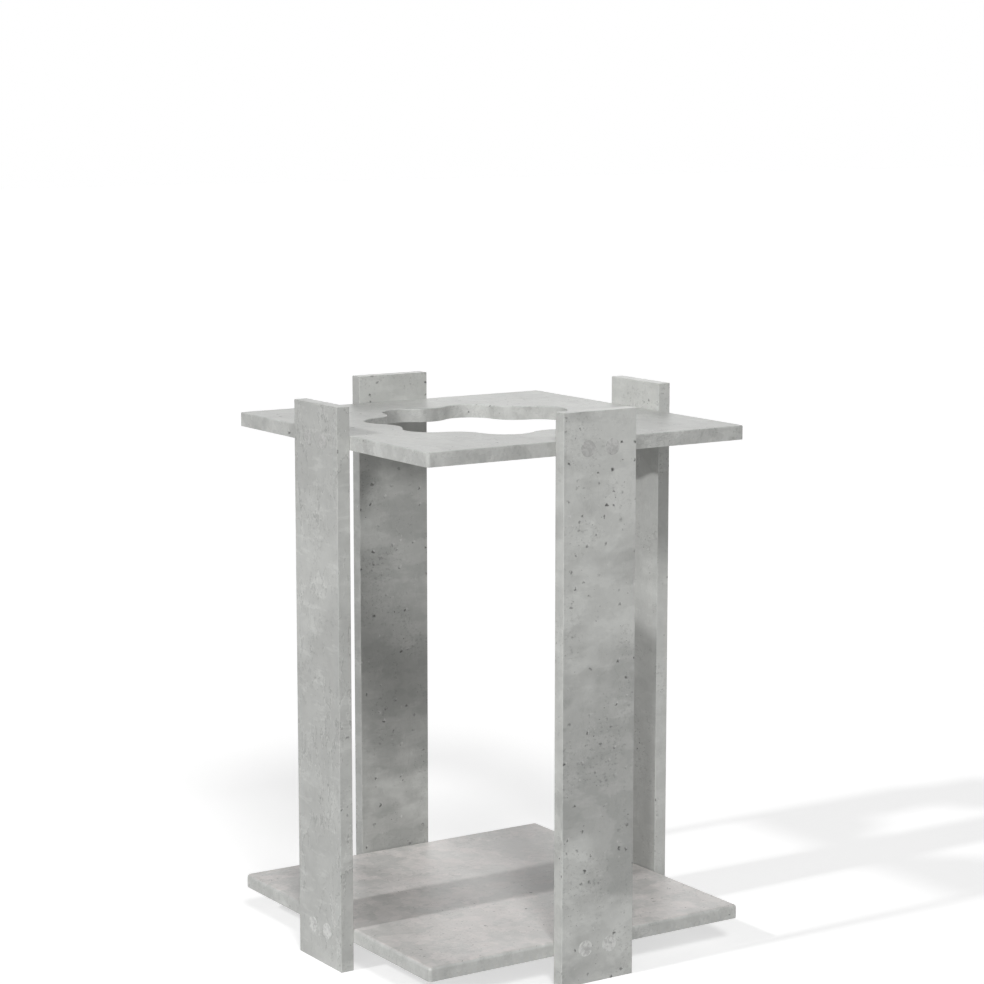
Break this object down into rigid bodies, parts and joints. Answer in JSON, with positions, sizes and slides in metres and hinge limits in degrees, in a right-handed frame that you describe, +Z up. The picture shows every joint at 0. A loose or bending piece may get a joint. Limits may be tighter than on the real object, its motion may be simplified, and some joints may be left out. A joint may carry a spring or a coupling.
{
  "type": "rod rack",
  "caption": "Free-standing rack for fishing rods: four upright boards hold a square base plate and a square rod plate with a scalloped opening.",
  "frame": {"origin": "middle of the rack on the floor, centre of the bounding box's bottom face", "axes": "+Z up; the plates' sides lie along X and Y; the front upright is at -Y, the right one at +X"},
  "size_m": [0.4206, 0.4206, 0.595],
  "materials": {
    "decor_board": "engineered board in light grey concrete decor, matt",
    "screw_steel": "zinc-plated",
    "cover_film": "self-adhesive film in concrete decor, matt"
  },
  "bodies": {
    "root": {"base_plate": "decor_board", "rod_plate": "decor_board", "upright_front": "decor_board", "upright_right": "decor_board", "upright_back": "decor_board", "upright_left": "decor_board", "screw_front_lower_1": "screw_steel", "screw_front_lower_2": "screw_steel", "screw_front_upper_1": "screw_steel", "screw_front_upper_2": "screw_steel", "screw_right_lower_1": "screw_steel", "screw_right_lower_2": "screw_steel", "screw_right_upper_1": "screw_steel", "screw_right_upper_2": "screw_steel", "screw_back_lower_1": "screw_steel", "screw_back_lower_2": "screw_steel", "screw_back_upper_1": "screw_steel", "screw_back_upper_2": "screw_steel", "screw_left_lower_1": "screw_steel", "screw_left_lower_2": "screw_steel", "screw_left_upper_1": "screw_steel", "screw_left_upper_2": "screw_steel", "cover_front_lower_1": "cover_film", "cover_front_lower_2": "cover_film", "cover_front_upper_1": "cover_film", "cover_front_upper_2": "cover_film", "cover_right_lower_1": "cover_film", "cover_right_lower_2": "cover_film", "cover_right_upper_1": "cover_film", "cover_right_upper_2": "cover_film", "cover_back_lower_1": "cover_film", "cover_back_lower_2": "cover_film", "cover_back_upper_1": "cover_film", "cover_back_upper_2": "cover_film", "cover_left_lower_1": "cover_film", "cover_left_lower_2": "cover_film", "cover_left_upper_1": "cover_film", "cover_left_upper_2": "cover_film"}
  },
  "joints": []
}
